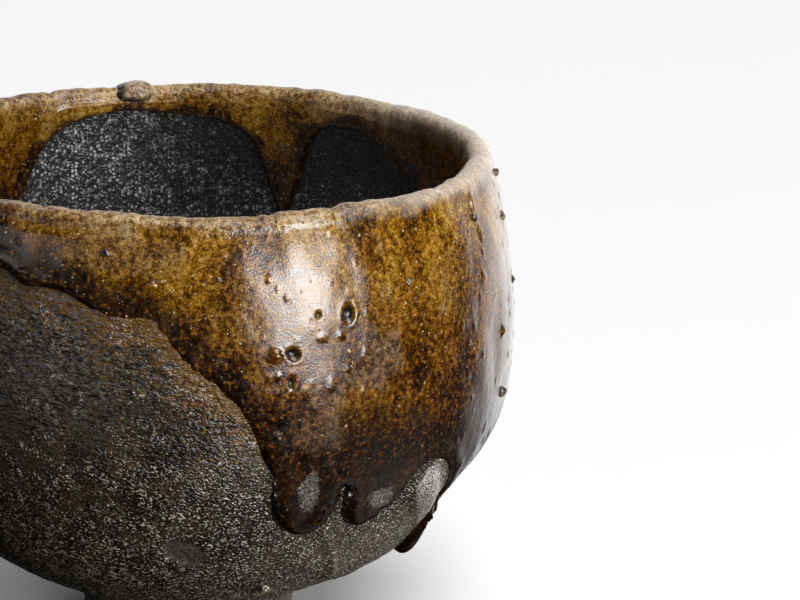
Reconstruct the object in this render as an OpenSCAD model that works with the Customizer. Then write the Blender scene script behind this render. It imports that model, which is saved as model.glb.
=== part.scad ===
// Hand-formed tea bowl: a rounded stoneware wall on a small foot ring, glazed
// over the lip on both sides, with runs that end in thick drops. The origin is
// at the centre of the resting face and +Z is up. Angles run anticlockwise seen
// from above, and 0 is the front of the bowl, which faces -Y.

/* [Bowl] */
// Height of the glazed lip above the resting face
bowl_h = 90; // [87:0.5:93]
// Greatest outside diameter of the bare clay wall
clay_d = 121.2; // [118:0.4:125.2]
// Height of the widest point above the resting face
belly_z = 57.5; // [56:0.5:60]
// How far the outside leans in between the belly and the lip
lean_out = 4.8; // [3.8:0.2:5.6]
// How far the inside leans in between the belly and the lip
lean_in = 2.7; // [2.1:0.2:3.3]
// Wall thickness at the belly
wall_t = 5.6; // [5:0.2:6.4]
// Height of the inside floor above the resting face
floor_z = 13.2; // [12:0.4:14.4]
// Radius of the tea pool pressed into the inside floor
pool_r = 17; // [14:1:19]
// Depth of the tea pool
pool_depth = 1.6; // [0.8:0.2:2]
// How far the hand-pinched lip dips between its high points
lip_dip = 0.8; // [0:0.1:1]

/* [Foot] */
// Outside diameter of the foot ring where it rests
foot_d = 37; // [34:0.5:38.5]
// Height of the foot ring
foot_h = 6; // [5.6:0.2:6.4]
// Width of the ring's resting face
foot_w = 5; // [4:0.25:6]

/* [Glaze] */
// Thickness of the glaze at the lip's crest, where it ran thin
lip_glaze_t = 0.35; // [0.3:0.05:0.5]
// Thickness of the glaze over the belly
glaze_t = 0.95; // [0.75:0.05:1.15]
// Thickness of the drops at the ends of the longest runs
drop_t = 2.6; // [2:0.1:3]

/* [Stones] */
// Length of the pebble in the lip
stone_l = 8.4; // [7:0.2:9]
// Radius of the largest grain that stands out of the wall
grain_r = 1.1; // [0.8:0.1:1.3]

/* [Hidden] */

sectors = 96;
low_rows = 9;
outer_rows = 8;
lip_rows = 6;
inner_rows = 5;
bowl_rows = 6;
pool_rows = 2;
drop_rows = 7;
close_z = 3.1;
lip_r = 1.9;
base_r = outside_r(foot_h);

clay_colour = [0.16, 0.15, 0.14];
foot_colour = [0.36, 0.33, 0.30];
glaze_colour = [0.52, 0.34, 0.13];
dark_glaze_colour = [0.22, 0.13, 0.07];
stone_colour = [0.60, 0.50, 0.38];

// Lower edge of the outer glaze coat, above its runs: [angle, height] round the bowl
outer_edge = [
    [-180, 64], [-166, 58], [-150, 70], [-130, 76], [-112, 67], [-94, 76], [-70, 80],
    [-48, 76.5], [-34, 79.5], [-22, 77], [-6, 71.5], [4, 62], [10, 54], [14, 46],
    [20, 42], [27, 43.5], [32, 37.5], [36, 34.5], [40, 35.5], [44, 41], [51, 42],
    [57, 37.5], [62, 30], [66, 27], [71, 30.5], [78, 39], [86, 46], [97, 42],
    [112, 51], [131, 45], [146, 58], [162, 68], [180, 64],
];

// Lower edge of the glaze inside, arches of bare clay between runs: [angle, height]
inner_edge = [
    [-180, 84], [-160, 84.5], [-148, 79], [-139, 66], [-130, 76], [-110, 82],
    [-84, 81], [-70, 68], [-58, 79], [-30, 83], [0, 80], [14, 66], [28, 79],
    [60, 82], [92, 79], [112, 62], [126, 76], [142, 83.5],
    [152, 80], [159, 64], [166, 79], [180, 84],
];

// Thick runs on the outside: [angle, half width in degrees, height of the lowest point]
drops = [
    [20.7, 6.3, 32],
    [32.8, 4.8, 31.8],
    [64.3, 3.8, 17.4],
    [97, 5, 29],
    [131, 5.5, 33],
    [-166, 5.5, 45],
    [-112, 5, 58],
];

// Grains that stand out of the wall: [angle, height, size as a share of grain_r]
grains = [
    [85, 86, 0.7], [79, 79, 0.9], [83, 66, 0.8], [86, 54, 0.7], [74, 47, 1.0], [62, 83, 0.8],
    [40, 76, 0.7], [5, 80, 0.6], [-14, 84, 0.8], [110, 72, 1.0], [150, 81, 0.9], [-150, 78, 0.7],
    [-95, 83, 1.0], [-60, 84, 0.8], [18.6, 17, 1.0], [-40, 40, 0.9], [-120, 30, 1.0], [140, 26, 0.8],
];

lip_stone_angle = -168.3;
stone_w = 0.58 * stone_l;

function outside_r(z) =
    z < belly_z
    ? clay_d / 2 * pow(1 - pow((belly_z - z) / (belly_z - close_z), 2.3), 0.515)
    : clay_d / 2 - lean_out * pow((z - belly_z) / (bowl_h - belly_z), 1.9);

inside_d = clay_d - 2 * wall_t;

function inside_r(z) =
    z < belly_z
    ? inside_d / 2 * sqrt(1 - pow((belly_z - z) / (belly_z - floor_z), 2.6))
    : inside_d / 2 - lean_in * pow((z - belly_z) / (bowl_h - belly_z), 1.9);

// Height of the inside floor at radius r, with the tea pool sunk into it
function floor_height(r) =
    belly_z - (belly_z - floor_z) * pow(1 - pow(2 * r / inside_d, 2), 1 / 2.6)
    - (r < pool_r ? pool_depth * (1 + cos(180 * r / pool_r)) / 2 : 0);

// Height of the clay lip's crest, with three shallow dips round the bowl
function crest_z(a) = bowl_h - lip_glaze_t - lip_dip * (1 - cos(3 * (a - 105))) / 2;

function lip_base_z(a) = crest_z(a) - lip_r;

function mix(p, q, u) = p * (1 - u) + q * u;

// Slope of an edge at point i, from its neighbours either side
function slope(edge, i) =
    let (p = edge[max(i - 1, 0)], q = edge[min(i + 1, len(edge) - 1)])
    (q[1] - p[1]) / (q[0] - p[0]);

// Height of an edge at an angle, on a smooth curve through its points
function height_at(edge, angle) =
    let (
        turned = angle < -180 ? angle + 360 : angle,
        i = max([for (k = [0 : len(edge) - 2]) if (edge[k][0] <= turned) k]),
        span = edge[i + 1][0] - edge[i][0],
        u = (turned - edge[i][0]) / span
    )
    mix(edge[i][1], edge[i + 1][1], u * u * (3 - 2 * u))
    + span * slope(edge, i) * u * pow(1 - u, 2)
    - span * slope(edge, i + 1) * u * u * (1 - u);

// Rows of [radius, height] up the outside, over the lip and down the inside
function low_wall(a) = [
    for (i = [0 : low_rows - 1])
        let (z = mix(foot_h, height_at(outer_edge, a), pow(i / low_rows, 1.5)))
        [outside_r(z), z]
];

function glazed_wall(a) = [
    for (i = [0 : outer_rows])
        let (z = mix(height_at(outer_edge, a), lip_base_z(a), i / outer_rows))
        [outside_r(z), z]
];

function lip_arc(a, first, last) =
    let (z = lip_base_z(a), r_out = outside_r(z), r_in = inside_r(z), r = (r_out - r_in) / 2)
    [
        for (i = [first : last])
            let (turn = 180 * i / lip_rows)
            [(r_out + r_in) / 2 + r * cos(turn), z + lip_r * sin(turn)]
    ];

function glazed_inside(a) = [
    for (i = [0 : inner_rows])
        let (z = mix(lip_base_z(a), height_at(inner_edge, a), i / inner_rows))
        [inside_r(z), z]
];

function bare_inside(a) = [
    for (i = [1 : bowl_rows])
        let (z = mix(height_at(inner_edge, a), floor_height(pool_r), 1 - pow(1 - i / bowl_rows, 1.5)))
        [inside_r(z), z]
];

function pool_floor() = [
    for (i = [1 : pool_rows])
        let (r = pool_r * (1 - i / (pool_rows + 1)))
        [r, floor_height(r)]
];

function clay_section(a) = concat(
    low_wall(a), glazed_wall(a), lip_arc(a, 1, lip_rows - 1),
    glazed_inside(a), bare_inside(a), pool_floor()
);

// Moves each point of a row along the normal to the row, by the thickness given for it
function raised(row, thick) =
    let (n = len(row))
    [
        for (i = [0 : n - 1])
            let (along = row[min(i + 1, n - 1)] - row[max(i - 1, 0)])
            row[i] + thick[i] * [along[1], -along[0]] / norm(along)
    ];

// Glaze thickness at share u of the way from the lip's crest down to the lower edge
function coat_t(u, edge_t) = u < 0.25
    ? mix(lip_glaze_t, glaze_t, u / 0.25)
    : mix(glaze_t, edge_t, pow((u - 0.25) / 0.75, 2));

// The glaze gathered at its lower edge: thicker the further it ran
function edge_t(a) = glaze_t + 0.014 * (bowl_h - height_at(outer_edge, a));

function reversed(list) = [for (i = [len(list) - 1 : -1 : 0]) list[i]];

// A closed section: the row on the clay, then the raised row back to its start
function coat_section(row, thick) = concat(row, reversed(raised(row, thick)));

function outer_coat(a) =
    let (row = concat(glazed_wall(a), lip_arc(a, 1, lip_rows / 2)), n = len(row) - 1)
    coat_section(row, [for (i = [0 : n]) coat_t(1 - i / n, edge_t(a))]);

function inner_coat(a) =
    let (row = concat(lip_arc(a, lip_rows / 2, lip_rows - 1), glazed_inside(a)), n = len(row) - 1)
    coat_section(row, [for (i = [0 : n]) coat_t(i / n, glaze_t)]);

// Section of a run at share s of its half width: from the coat's edge, where it is as
// thick as the coat, down to its own round and swollen end
function drop_section(drop, s) =
    let (
        a = drop[0] + drop[1] * s,
        top = height_at(outer_edge, a),
        across = sqrt(1 - s * s),
        low = mix(top, drop[2], pow(across, 0.7)),
        down = [for (i = [0 : drop_rows]) pow(1 - i / drop_rows, 0.7)],
        row = [for (v = down) let (z = mix(top, low, v)) [outside_r(z), z]],
        swell = drop_t * across,
        thick = [for (v = down) mix(edge_t(a), swell, sin(90 * v)) * sqrt(1.06 - pow(v, 6))]
    )
    coat_section(row, thick);

function placed(section, a) = [for (p = section) [p[0] * sin(a), -p[0] * cos(a), p[1]]];

// Two triangles for each cell between row i and the next row of m points
function cell(i0, i1, j0, j1, m) = [
    [i0 * m + j0, i1 * m + j1, i0 * m + j1],
    [i0 * m + j0, i1 * m + j0, i1 * m + j1],
];

// A solid ring through closed sections that run all the way round
module ring_skin(sections) {
    n = len(sections);
    m = len(sections[0]);
    faces = [
        for (i = [0 : n - 1], j = [0 : m - 1])
            each cell(i, (i + 1) % n, j, (j + 1) % m, m)
    ];
    polyhedron([for (s = sections) each s], faces);
}

// A solid through closed sections, capped at the first and the last
module capped_skin(sections) {
    n = len(sections);
    m = len(sections[0]);
    faces = [
        for (i = [0 : n - 2], j = [0 : m - 1])
            each cell(i, i + 1, j, (j + 1) % m, m)
    ];
    first = [for (j = [0 : m - 1]) j];
    last = [for (j = [0 : m - 1]) (n - 1) * m + m - 1 - j];
    polyhedron([for (s = sections) each s], concat(faces, [first, last]));
}

// A solid through open sections whose ends are closed with a point below and above
module bowl_skin(sections, low, high) {
    n = len(sections);
    m = len(sections[0]);
    sides = [
        for (i = [0 : n - 1], j = [0 : m - 2])
            each cell(i, (i + 1) % n, j, j + 1, m)
    ];
    under = [for (i = [0 : n - 1]) [n * m, ((i + 1) % n) * m, i * m]];
    over = [for (i = [0 : n - 1]) [n * m + 1, i * m + m - 1, ((i + 1) % n) * m + m - 1]];
    polyhedron(concat([for (s = sections) each s], [low, high]), concat(sides, under, over));
}

angles = [for (i = [0 : sectors - 1]) -180 + 360 * i / sectors];

// A rounded pebble lying along X
module pebble(length, width) {
    rotate([0, 90, 0])
        rotate_extrude($fn = 48)
            polygon([for (turn = [0 : 15 : 180]) [width / 2 * sin(turn), -length / 2 * cos(turn)]]);
}

module stone_in_place() {
    rotate([0, 0, lip_stone_angle])
        translate([0, -(outside_r(bowl_h) + inside_r(bowl_h)) / 2, crest_z(lip_stone_angle) - 0.5])
            rotate([0, 6, 0])
                pebble(stone_l, stone_w);
}

module grains_in_place() {
    for (g = grains)
        rotate([0, 0, g[0]])
            translate([0, -outside_r(g[1]) - 0.5, g[1]])
                sphere(r = grain_r * g[2], $fn = 24);
}

module lip_stone() {
    color(stone_colour) stone_in_place();
}

module wall_grains() {
    color(stone_colour) grains_in_place();
}

module clay_body() {
    color(clay_colour)
        difference() {
            bowl_skin([for (a = angles) placed(clay_section(a), a)], [0, 0, foot_h], [0, 0, floor_height(0)]);
            stone_in_place();
            grains_in_place();
        }
}

module foot_ring() {
    flare = [for (turn = [0 : 15 : 90]) [
        base_r - (base_r - foot_d / 2) * sin(turn),
        foot_h - 0.5 * foot_h * (1 - cos(turn))
    ]];
    color(foot_colour)
        rotate_extrude($fn = 96)
            polygon(concat(
                [[foot_d / 2 - foot_w, 0], [foot_d / 2 - 0.6, 0], [foot_d / 2, 0.6]],
                reversed(flare),
                [[foot_d / 2 - foot_w - 1, foot_h]]
            ));
}

module outer_glaze() {
    color(glaze_colour)
        difference() {
            ring_skin([for (a = angles) placed(outer_coat(a), a)]);
            stone_in_place();
            grains_in_place();
        }
}

module inner_glaze() {
    color(glaze_colour)
        difference() {
            ring_skin([for (a = angles) placed(inner_coat(a), a)]);
            stone_in_place();
        }
}

module glaze_drops() {
    steps = [-0.98 : 0.196 : 0.99];
    color(dark_glaze_colour)
        for (drop = drops)
            capped_skin([for (s = steps) placed(drop_section(drop, s), drop[0] + drop[1] * s)]);
}

clay_body();
foot_ring();
outer_glaze();
inner_glaze();
glaze_drops();
lip_stone();
wall_grains();
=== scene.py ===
"""Matcha bowl: the looks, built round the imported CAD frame.

Lengths in this script are millimetres until a mesh is made. Angles run anticlockwise
seen from above, in degrees, and 0 is the front of the bowl, which faces -Y.
"""
import math

import bpy
import numpy as np
from mathutils import Matrix, Vector
from mathutils.kdtree import KDTree


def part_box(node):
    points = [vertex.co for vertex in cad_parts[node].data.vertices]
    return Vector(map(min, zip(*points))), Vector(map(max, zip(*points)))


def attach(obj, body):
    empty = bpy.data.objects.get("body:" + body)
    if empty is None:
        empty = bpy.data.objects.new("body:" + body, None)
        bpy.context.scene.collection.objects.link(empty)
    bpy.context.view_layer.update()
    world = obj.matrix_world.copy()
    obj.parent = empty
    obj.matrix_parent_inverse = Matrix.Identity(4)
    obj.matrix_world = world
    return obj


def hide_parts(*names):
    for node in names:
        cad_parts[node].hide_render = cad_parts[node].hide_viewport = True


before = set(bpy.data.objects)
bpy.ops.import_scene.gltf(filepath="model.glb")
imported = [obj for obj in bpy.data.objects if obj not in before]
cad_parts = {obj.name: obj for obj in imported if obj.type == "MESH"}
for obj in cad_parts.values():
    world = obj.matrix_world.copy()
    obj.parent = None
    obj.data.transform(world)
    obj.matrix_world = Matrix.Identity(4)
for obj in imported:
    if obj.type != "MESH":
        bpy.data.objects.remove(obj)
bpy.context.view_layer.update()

MM = 0.001


def node_box(node):
    """Lowest and highest corner of a CAD node, in millimetres."""
    low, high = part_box(node)
    return np.array(low) / MM, np.array(high) / MM


# ---- driving sizes

clay_low, clay_high = node_box("clay_body")
foot_high = node_box("foot_ring")[1]
glaze_high = node_box("outer_glaze")[1]

CLAY_R = (clay_high[0] - clay_low[0]) / 2
FOOT_R, FOOT_H = foot_high[0], foot_high[2]
BOWL_H = glaze_high[2]
BELLY_Z = 57.5  # height of the widest place
CLOSE_Z = 3.1  # height where the outside curve would close
LEAN_OUT = 4.8  # how far the outside leans in from the belly to the lip
LEAN_IN = 2.7  # the same for the inside
WALL_T = 5.6
FLOOR_Z = 13.2
POOL_R = 17.0
POOL_DEPTH = 1.6
LIP_R = 1.9
LIP_GLAZE_T = 0.35
FOOT_W = 5.0
GLAZE_T = 0.95
INNER_EDGE_T = 1.2  # thickness of the inner coat at its lower edge
DROP_T = 2.6
SUNK = 0.25  # how deep a coat's border lies in the clay
UNDER_GAP = 0.1  # how much deeper its under face lies
COVERED = 0.15  # how much lower the clay lies under a coat
BAND_Z = 17.5  # top of the pale band that was trimmed round the foot
UNDERLAP = 1.5  # how far the bare clay's fine rows reach up under a coat
LIP_OVERLAP = 1 / 14  # share of the lip by which each coat passes the crest
GRAIN_GAP = 2.6  # more than a grain's width, and less than the gap between two
RIM_REACH_OUTSIDE = 3.2  # how far the pale rim reaches down from the crest
RIM_REACH_INSIDE = 5.0
EDGE_CAP = 40  # the longest distance from the border that the material is told
SHARP_ANGLE = 55  # edges sharper than this aren't shaded smooth

# Mesh density: columns round the bowl, and rows along each part of an outline
CLAY_COLUMNS, COAT_COLUMNS, INNER_COAT_COLUMNS, FOOT_COLUMNS = 380, 760, 620, 360
BARE_ROWS, COVERED_ROWS, INNER_COVERED_ROWS, INNER_BARE_ROWS, POOL_ROWS = 140, 16, 10, 66, 16
COAT_ROWS, DROP_ROWS, INNER_COAT_ROWS, LIP_ROWS = 96, 34, 72, 9
BORDER_POINTS, INNER_BORDER_POINTS = 3000, 2400
CLAY_LIP_SHARES = np.linspace(0, 1, LIP_ROWS)[1:-1]

# The coats' lower edges, outside and inside: angle, height
OUTER_EDGE = [
    (-180, 64), (-166, 58), (-150, 70), (-130, 76), (-112, 67), (-94, 76), (-70, 80),
    (-48, 76.5), (-33.5, 79.6), (-28, 77.2), (-22, 76.6), (-15, 73.6), (-6, 71.4), (0, 65),
    (8, 57.5), (12, 49), (15, 43.5), (20, 42), (27, 41), (31.5, 37.5), (36, 33.6), (40.5, 34.8),
    (44.5, 40), (51, 40.8), (56.5, 36.5), (60.5, 30), (65, 26), (71, 29), (78, 39), (86, 46),
    (97, 42), (112, 51), (131, 45), (146, 58), (162, 68), (180, 64),
]

INNER_EDGE = [
    (-180, 84), (-160, 84.5), (-148, 79), (-139, 66), (-130, 76), (-110, 82), (-84, 81),
    (-70, 68), (-58, 79), (-30, 83), (0, 80), (14, 66), (28, 79), (60, 82), (92, 79),
    (112, 62), (126, 76), (142, 83.5), (152, 80), (159, 64), (166, 79), (180, 84),
]

# How far the lip rises above its mean height: angle, rise
RIM_RISE = [
    (-180, -0.1), (-165, -0.3), (-135, -0.2), (-80, 0.2), (-45, 0.2), (-15, 0.4), (5, -0.2),
    (30, 0.4), (50, -0.2), (80, 0.3), (100, 0.5), (130, 0), (150, 0.1), (180, -0.1),
]

# Narrow dents in the lip's crest: angle, half width in degrees, depth
NICKS = [(27.2, 0.8, 0.4), (14.8, 0.8, 0.25), (33, 1.2, 0.2), (-150, 1, 0.4)]

# Where hands left the wall full or, below 0, pressed it in: angle, height, reach across,
# reach up, push
PRESSED = [
    (52, 19, 20, 8, 1.2), (74, 27.5, 14, 5.5, -2.2), (-120, 40, 20, 14, -0.6),
    (170, 30, 20, 12, 0.5),
]

# How thickly the coat gathered along its lower edge: angle, thickness
EDGE_ROLL = [
    (-180, 1.5), (-60, 1.3), (-28, 1.1), (-20, 0.45), (-8, 0.25), (6, 0.3), (13, 0.7), (20, 1.5),
    (34, 1.5), (44, 0.9), (60, 0.7), (70, 0.7), (80, 1.2), (180, 1.5),
]

# Runs that hang below the coat's edge: angle, half width in degrees, lowest height
DROPS = [
    (20.7, 6.2, 32.0), (33.2, 4.8, 31.6), (64.3, 3.6, 17.2), (97, 5, 29), (131, 5.5, 33),
    (-166, 5.5, 45), (-112, 5, 58),
]

# Burst bubbles in the glaze: angle, height, half width, half height, tilt, depth
PITS = [
    (27.1, 72.6, 1.25, 1.7, -8, 0.8), (17.0, 66.7, 1.35, 1.0, -38, 0.7),
    (21.6, 72.9, 0.6, 0.6, 0, 0.4), (16.7, 61.9, 0.6, 1.2, 0, 0.6),
    (62.0, 85.3, 0.6, 1.9, 0, 0.6), (62.5, 79.8, 0.45, 1.6, 6, 0.5),
    (24.0, 38.2, 0.5, 0.5, 0, 0.35), (23.0, 35.8, 0.35, 0.35, 0, 0.3),
    (-128, 80, 1.0, 1.3, 20, 0.6), (155, 76, 0.8, 0.9, 0, 0.5), (95, 60, 0.9, 1.2, -15, 0.6),
]

# Bubbles that stand up in the glaze: angle, height, radius, rise
BLISTERS = [
    (14.2, 66.7, 1.2, 0.7), (-6, 79, 0.9, 0.4), (47, 70, 1.0, 0.4), (70, 60, 1.1, 0.5),
    (-140, 74, 1.2, 0.6),
]

# Pale grey patches on the thick glaze, painted reflection on the runs at the front and powder that fell at
# the back: angle, height, half width, half height
DUST_AND_SHEEN_PATCHES = [(20.5, 40.5, 2.3, 5.0), (35.5, 36.5, 3.4, 2.6), (63, 29, 1.4, 3), (-166, 50, 2.5, 4)]

# Where matt crystals dulled the glaze: angle, height, half width, half height, strength
CRYSTAL_PATCHES = [
    (33, 64, 6, 6, 0.9), (19, 54, 8, 6, 0.7), (-24, 80, 6, 4, 0.8), (-12, 84, 9, 4, 0.6),
    (88, 72, 9, 16, 0.8), (-75, 84, 12, 6, 0.8), (-150, 72, 8, 6, 0.4), (150, 68, 9, 9, 0.7),
    (118, 60, 8, 10, 0.8),
]


# ---- noise

def lattice(cell, seed):
    """A repeatable number from 0 to 1 for each integer cell."""
    i = cell.astype(np.int64)
    n = i[..., 0] * 374761393 + i[..., 1] * 668265263 + i[..., 2] * 1442695041 + seed * 974634777
    n = (n ^ (n >> 13)) * 1274126177 & 0x7FFFFFFF
    n = (n ^ (n >> 16)) * 2246822519 & 0x7FFFFFFF
    return ((n >> 7) & 0xFFFF) / 65535.0


def noise(points, size, seed):
    """Smooth value noise from -1 to 1 with features of about the given size."""
    p = np.asarray(points, float) / size
    base = np.floor(p)
    f = p - base
    f = f * f * (3 - 2 * f)
    total = 0.0
    for corner in np.ndindex(2, 2, 2):
        c = np.array(corner)
        weight = np.prod(np.where(c == 1, f, 1 - f), axis=-1)
        total = total + weight * lattice(base + c, seed)
    return 2 * total - 1


def layered(points, seed, *layers):
    """Sum of noises, each given as its height and its size, with seeds that follow on."""
    return sum(height * noise(points, size, seed + i) for i, (height, size) in enumerate(layers))


def smoothstep(x, low, high):
    """0 at low and 1 at high, with a smooth rise between; low may be above high."""
    u = np.clip((x - low) / (high - low), 0, 1)
    return u * u * (3 - 2 * u)


def mix(p, q, u):
    """From p at share 0 to q at share 1."""
    return p * (1 - u) + q * u


# ---- the bowl's form

def outside_r(z):
    """Radius of the clay's outside at a height."""
    drop = np.clip((BELLY_Z - z) / (BELLY_Z - CLOSE_Z), 0, 1)
    rise = np.clip((z - BELLY_Z) / (BOWL_H - BELLY_Z), 0, 2)
    return CLAY_R * (1 - drop**2.3) ** 0.515 - LEAN_OUT * rise**1.9


def inside_r(z):
    """Radius of the clay's inside at a height."""
    radius = CLAY_R - WALL_T
    drop = np.clip((BELLY_Z - z) / (BELLY_Z - FLOOR_Z), 0, 1)
    rise = np.clip((z - BELLY_Z) / (BOWL_H - BELLY_Z), 0, 2)
    return radius * np.sqrt(1 - drop**2.6) - LEAN_IN * rise**1.9


def floor_height(r):
    """Height of the inside at a radius, with the shallow tea pool at the middle."""
    bowl = BELLY_Z - (BELLY_Z - FLOOR_Z) * (1 - (r / (CLAY_R - WALL_T)) ** 2) ** (1 / 2.6)
    pool = POOL_DEPTH * (1 + np.cos(np.pi * np.minimum(r / POOL_R, 1))) / 2
    return bowl - pool


def edge_height(edge, angle):
    """Height of an edge at each angle, on a smooth curve through its points."""
    a, h = (np.array(v, float) for v in zip(*edge))
    slope = np.gradient(h, a)
    slope[1:-1] = (h[2:] - h[:-2]) / (a[2:] - a[:-2])
    i = np.clip(np.searchsorted(a, angle, side="right") - 1, 0, len(a) - 2)
    span = a[i + 1] - a[i]
    u = (angle - a[i]) / span
    return (mix(h[i], h[i + 1], u * u * (3 - 2 * u))
            + span * slope[i] * u * (1 - u) ** 2 - span * slope[i + 1] * u * u * (1 - u))


def turned(angle):
    """The same angle from -180 to 180."""
    return (angle + 180) % 360 - 180


def angle_of(p):
    """Angle of each point round the bowl."""
    return np.degrees(np.arctan2(p[..., 0], -p[..., 1]))


def on_circle(angle, radius, height):
    """Points at angles round the bowl, at one radius and height or one for each."""
    a = np.radians(angle)
    return np.stack([radius * np.sin(a), -radius * np.cos(a), height + 0 * a], -1)


def crest_z(angle):
    """Height of the clay lip's crest: slow rises, then small pinches and nicks."""
    ring = on_circle(angle, 55, 0)
    pinches = layered(ring, 11, (0.2, 8), (0.2, 3.2), (0.17, 1.6))
    nicks = sum(depth * np.exp(-((turned(angle - at) / half) ** 2)) for at, half, depth in NICKS)
    return BOWL_H - LIP_GLAZE_T + edge_height(RIM_RISE, turned(angle)) + pinches - nicks


def run_edge(angle):
    """The coat's lower edge outside, with the fine unevenness of a melted edge."""
    ring = on_circle(angle, 55, 40)
    return edge_height(OUTER_EDGE, angle) + layered(ring, 21, (0.5, 5), (0.2, 2))


def inner_run_edge(angle):
    """The same for the coat inside."""
    ring = on_circle(angle, 52, 60)
    return edge_height(INNER_EDGE, angle) + layered(ring, 23, (0.8, 6), (0.3, 2))


def run_end(angle):
    """The lowest height that glaze reaches outside, drops included."""
    edge = run_edge(angle)
    low = edge.copy()
    for at, half, end in DROPS:
        s = np.clip(turned(angle - at) / half, -1, 1)
        across = np.sqrt(1 - s * s)
        low = np.minimum(low, mix(edge, end, across**0.7))
    return low


def placed(section, angle):
    """Sections of (radius, height), one row per angle, as points round the bowl."""
    return on_circle(angle[:, None], section[..., 0], section[..., 1])


def raised(section, amount):
    """Moves each point of each section along the section's normal. The clay is on the
    left of a section that is followed upwards outside and downwards inside."""
    along = np.gradient(section, axis=1)
    normal = np.stack([along[..., 1], -along[..., 0]], -1)
    normal /= np.maximum(np.linalg.norm(normal, axis=-1, keepdims=True), 1e-9)
    return section + normal * amount[..., None]


def rows_between(start, end, count, power=1.0):
    """Heights from start to end, one row of count values for each angle."""
    u = np.linspace(0, 1, count) ** power
    return start[:, None] * (1 - u) + end[:, None] * u


def lip_arc(angle, shares):
    """Points over the lip, from the outside at share 0 to the inside at share 1."""
    base = crest_z(angle) - LIP_R
    r_out, r_in = outside_r(base), inside_r(base)
    turn = np.pi * np.asarray(shares)
    middle, half = (r_out + r_in) / 2, (r_out - r_in) / 2
    r = middle[:, None] + half[:, None] * np.cos(turn)
    z = base[:, None] + LIP_R * np.sin(turn)
    return np.stack([r, z], -1)


def wall_section(z, radius_of):
    """Points (radius, height) on the outside or the inside at heights."""
    return np.stack([radius_of(z), z], -1)


# ---- hand-made unevenness

def local(p, at, height, tilt):
    """Distances across and along a mark on the wall that leans by tilt degrees."""
    x = np.radians(turned(angle_of(p) - at)) * outside_r(np.asarray(float(height)))
    y = p[..., 2] - height
    c, s = math.cos(math.radians(tilt)), math.sin(math.radians(tilt))
    return c * x + s * y, -s * x + c * y


def reach_of(p, at, height, half_w, half_h, tilt=0):
    """Distance of each point from the middle of an oval mark, which is 1 at the mark's edge."""
    x, y = local(p, at, height, tilt)
    return np.sqrt((x / half_w) ** 2 + (y / half_h) ** 2)


def hand_wobble(p, inward):
    """The slow unevenness that hands leave in the whole wall, clay and glaze alike. It
    fades and turns over from the outside, at 0 inward, to the inside, at 1."""
    pressed = sum(push * np.exp(-(reach_of(p, *mark) ** 2)) for *mark, push in PRESSED)
    slow = layered(p, 31, (0.4, 34), (0.16, 15))
    return slow * mix(1.0, -0.4, inward) + pressed * (1 - inward)


def clay_relief(p):
    """Throwing lines, trimming facets, marks and grit on the bare outside."""
    z = p[..., 2]
    stretched = p * np.array([0.18, 0.18, 1.0])
    lines = layered(stretched, 41, (0.1, 1.3), (0.07, 0.7))
    lines = lines * smoothstep(z, 38, 62)
    leaning = np.stack([p[..., 0] + 0.9 * z, p[..., 1], 0.25 * (z - 0.6 * p[..., 0])], -1)
    facets = 0.55 * np.abs(noise(leaning, 17, 43)) * smoothstep(z, 44, 24) * smoothstep(z, 7, 14)
    grit = 0.12 * np.maximum(noise(p, 1.5, 44), 0) + 0.1 * noise(p, 0.9, 45)
    band = 0.3 * smoothstep(z, BAND_Z + 0.5, BAND_Z - 0.5)
    touches = 1.3 * ridge(p) + 0.6 * crease(p) - 0.45 * thumb_mark(p)
    return lines - facets + grit - band + touches


def thumb_mark(p):
    """1 inside the smooth oval that a thumb left low on the front."""
    x, y = local(p, -0.4, 28.2, -36)
    return smoothstep((x / 4.3) ** 2 + (y / 2.7) ** 2, 1.2, 0.8)


def crease(p):
    """1 along the crease that runs down the right of the front to the foot."""
    x, y = local(p, 31, 24.5, 33)
    return np.exp(-((x / 0.9) ** 2)) * smoothstep(np.abs(y), 11, 6)


def ridge(p):
    """1 along the low finger of clay under the right-hand run."""
    x, y = local(p, 52.5, 32.2, 33)
    width = np.interp(y, [-12, 0, 10], [1.7, 2.9, 3.5])
    return np.exp(-(((x + 0.7 * np.sin(0.35 * y)) / width) ** 2)) * smoothstep(np.abs(y), 12, 5)


def inside_relief(p):
    """Soft unevenness and grit of the bare inside."""
    return layered(p, 51, (0.25, 7), (0.12, 2.2), (0.1, 1.1))


def pit_depth(p):
    """How far each point is sunk in a burst bubble, with the low ring thrown up round it."""
    total = 0.0
    for *mark, tilt, depth in PITS:
        q = reach_of(p, *mark, tilt)
        total += depth * smoothstep(q, 1.05, 0.55) - 0.07 * np.exp(-(((q - 1.35) / 0.22) ** 2))
    return total


def blister_height(p):
    """How far bubbles that froze before they burst stand up at each point."""
    return sum(
        rise * smoothstep(reach_of(p, at, height, radius, radius), 1.1, 0.3)
        for at, height, radius, rise in BLISTERS
    )


def strongest(parts):
    """The highest of several shares at each point."""
    return np.maximum.reduce(list(parts))


def pit_mask(p):
    """1 in a burst bubble."""
    return strongest(smoothstep(reach_of(p, *mark), 1.0, 0.7) for *mark, _ in PITS)


def crystals_of(p):
    """How densely matt crystals cover each point, from 0 to 1."""
    uneven = layered(p, 91, (0.5, 5), (0.3, 2))
    return strongest(
        strength * smoothstep(reach_of(p, *mark) + uneven, 1.15, 0.6)
        for *mark, strength in CRYSTAL_PATCHES
    )


def dust_and_sheen_of(p):
    """1 in the middle of a pale grey patch, falling to 0 at its edge."""
    uneven = 0.3 * noise(p, 2, 94)
    return strongest(smoothstep(reach_of(p, *mark) + uneven, 1.2, 0.4) for mark in DUST_AND_SHEEN_PATCHES)


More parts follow.
